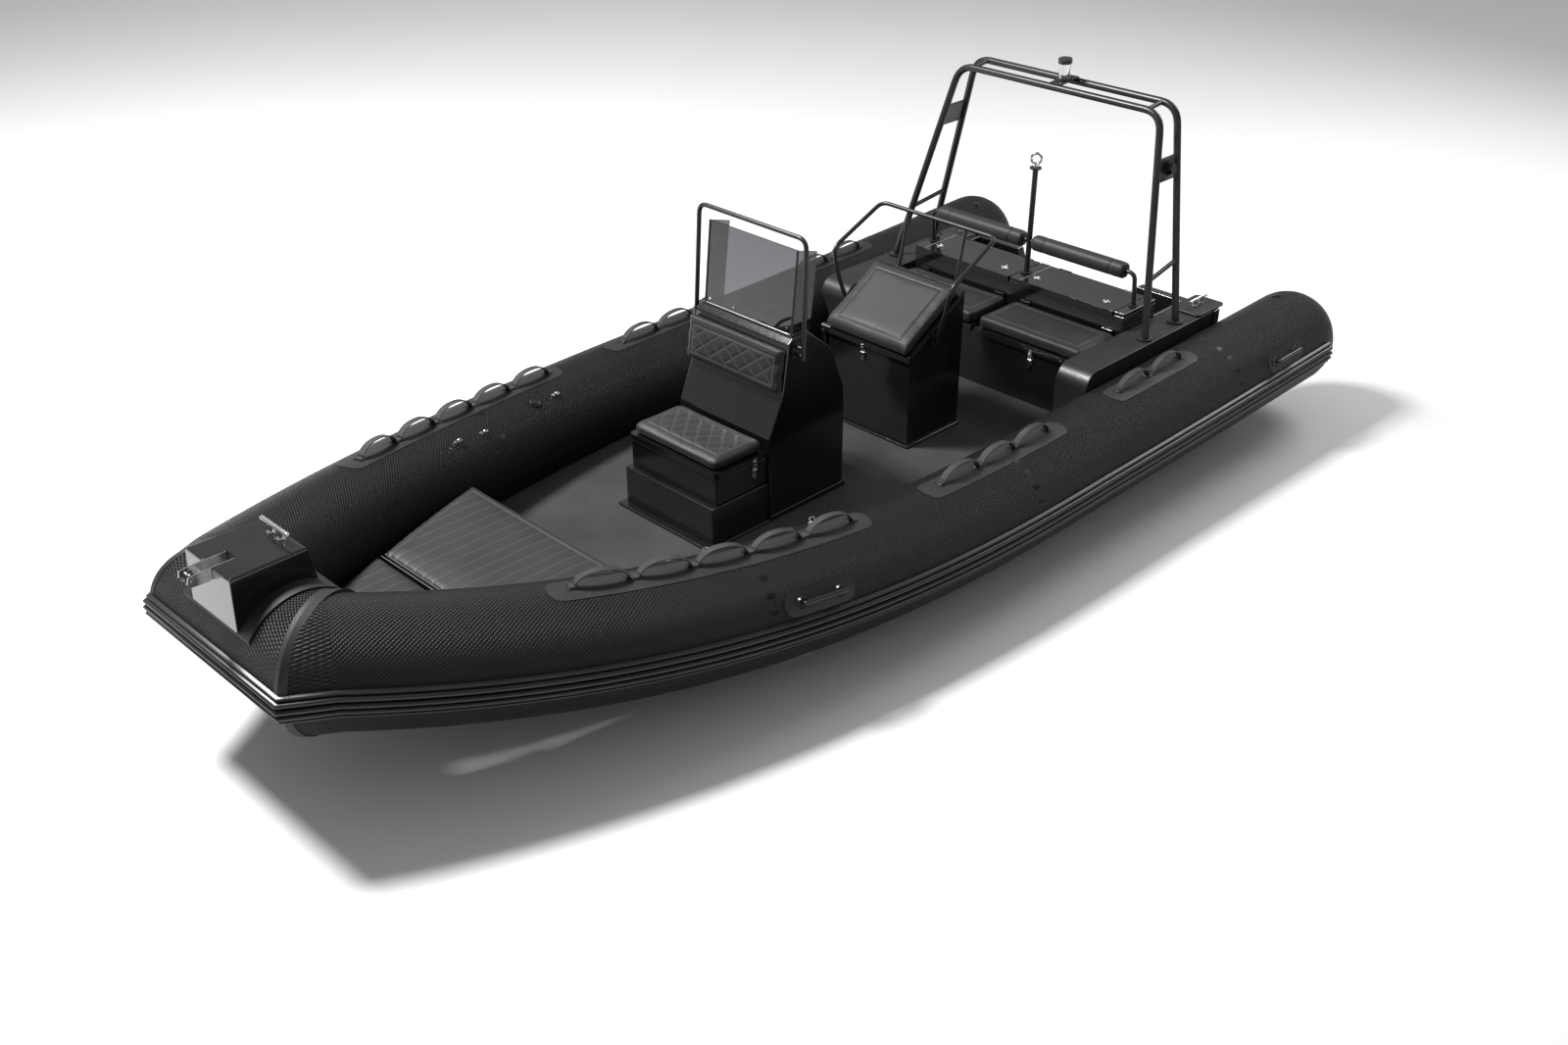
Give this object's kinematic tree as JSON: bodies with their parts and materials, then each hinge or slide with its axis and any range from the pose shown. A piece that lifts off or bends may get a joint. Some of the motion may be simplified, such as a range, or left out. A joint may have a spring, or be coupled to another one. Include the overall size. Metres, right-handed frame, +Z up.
{
  "type": "inflatable rib boat",
  "caption": "Rigid inflatable boat with a blunt-nosed tube collar on a deep-V hull, a centre console, lift-up seats, an aft locker ledge and a roll bar.",
  "frame": {"origin": "on the centreline at the waterline, near the front of the console", "axes": "+X to port, -Y towards the bow, +Z up"},
  "size_m": [2.7698, 6.0609, 2.126],
  "materials": {
    "hull_gelcoat": "gloss moulded laminate",
    "deck_nonskid": "moulded non-skid",
    "tube_fabric": "coated fabric with a fine diamond weave",
    "strake_rubber": "satin extrusion",
    "patch_grey": "matt coated fabric",
    "gloss_black": "gloss moulding",
    "powder_black": "satin powder coat",
    "stainless": "polished",
    "vinyl_grey": "stitched vinyl",
    "webbing": "woven webbing",
    "roller_rubber": "gloss",
    "tinted_acrylic": "tinted, clear",
    "soft_plastic": "satin",
    "lens": "clear lens"
  },
  "bodies": {
    "boat": {"hull": "hull_gelcoat", "deck": "deck_nonskid", "transom": "hull_gelcoat", "engine_well": "gloss_black", "port_tube": "tube_fabric", "starboard_tube": "tube_fabric", "bow_tube": "tube_fabric", "rubbing_strake": "strake_rubber", "bow_pad": "patch_grey", "bow_step": "gloss_black", "roller_bracket": "stainless", "bow_cleat": "stainless", "port_grab_handles": "webbing", "starboard_grab_handles": "webbing", "carry_handles": "soft_plastic", "bow_locker": "gloss_black", "forward_cushion": "vinyl_grey", "console_body": "gloss_black", "console_pad": "vinyl_grey", "windscreen": "tinted_acrylic", "console_rail": "powder_black", "throttle": "soft_plastic", "front_seat_box": "gloss_black", "helm_seat_box": "gloss_black", "helm_rail": "powder_black", "bench_box": "gloss_black", "aft_ledge": "gloss_black", "side_decks": "gloss_black", "stern_platforms": "gloss_black", "stern_cleats": "stainless", "side_vents": "stainless", "backrest_frame": "powder_black", "backrest_rolls": "vinyl_grey", "tow_mast": "powder_black", "arch": "powder_black", "nav_lights": "lens", "masthead_light": "lens"},
    "steering_wheel": {"steering_wheel": "soft_plastic"},
    "front_seat_lid": {"front_seat_lid": "gloss_black", "front_seat_cushion": "vinyl_grey"},
    "helm_seat_lid": {"helm_seat_lid": "gloss_black", "helm_seat_cushion": "vinyl_grey"},
    "port_bench_lid": {"port_bench_lid": "gloss_black", "port_bench_cushion": "vinyl_grey"},
    "starboard_bench_lid": {"starboard_bench_lid": "gloss_black", "starboard_bench_cushion": "vinyl_grey"},
    "port_hatch": {"port_hatch": "gloss_black"},
    "starboard_hatch": {"starboard_hatch": "gloss_black"},
    "bow_locker_lid": {"bow_locker_lid": "gloss_black", "bow_cushion": "vinyl_grey"},
    "bow_roller": {"bow_roller": "roller_rubber"}
  },
  "joints": [
    {"name": "helm_turn", "type": "hinge", "parent": "boat", "child": "steering_wheel", "pos_m": [-0.095, 0.411, 0.898], "axis": [0, 0.9259, 0.3778], "range_deg": [-630, 630]},
    {"name": "front_seat_lift", "type": "hinge", "parent": "boat", "child": "front_seat_lid", "pos_m": [-0.29, -0.263, 0.574], "axis": [0, -1, 0], "range_deg": [0, 95]},
    {"name": "helm_seat_lift", "type": "hinge", "parent": "boat", "child": "helm_seat_lid", "pos_m": [0, 1.3, 0.9665], "axis": [-1, 0, 0], "range_deg": [0, 65]},
    {"name": "port_bench_lift", "type": "hinge", "parent": "boat", "child": "port_bench_lid", "pos_m": [0.35, 2.079, 0.626], "axis": [-1, 0, 0], "range_deg": [0, 85]},
    {"name": "starboard_bench_lift", "type": "hinge", "parent": "boat", "child": "starboard_bench_lid", "pos_m": [-0.35, 2.079, 0.626], "axis": [-1, 0, 0], "range_deg": [0, 85]},
    {"name": "port_hatch_lift", "type": "hinge", "parent": "boat", "child": "port_hatch", "pos_m": [0.34, 2.372, 0.733], "axis": [-1, 0, 0], "range_deg": [0, 30]},
    {"name": "starboard_hatch_lift", "type": "hinge", "parent": "boat", "child": "starboard_hatch", "pos_m": [-0.34, 2.372, 0.733], "axis": [-1, 0, 0], "range_deg": [0, 30]},
    {"name": "bow_locker_lift", "type": "hinge", "parent": "boat", "child": "bow_locker_lid", "pos_m": [0, -1.74, 0.497], "axis": [1, 0, 0], "range_deg": [0, 80]},
    {"name": "roller_turn", "type": "hinge", "parent": "boat", "child": "bow_roller", "pos_m": [0, -2.693, 0.952], "axis": [1, 0, 0], "continuous": true}
  ]
}
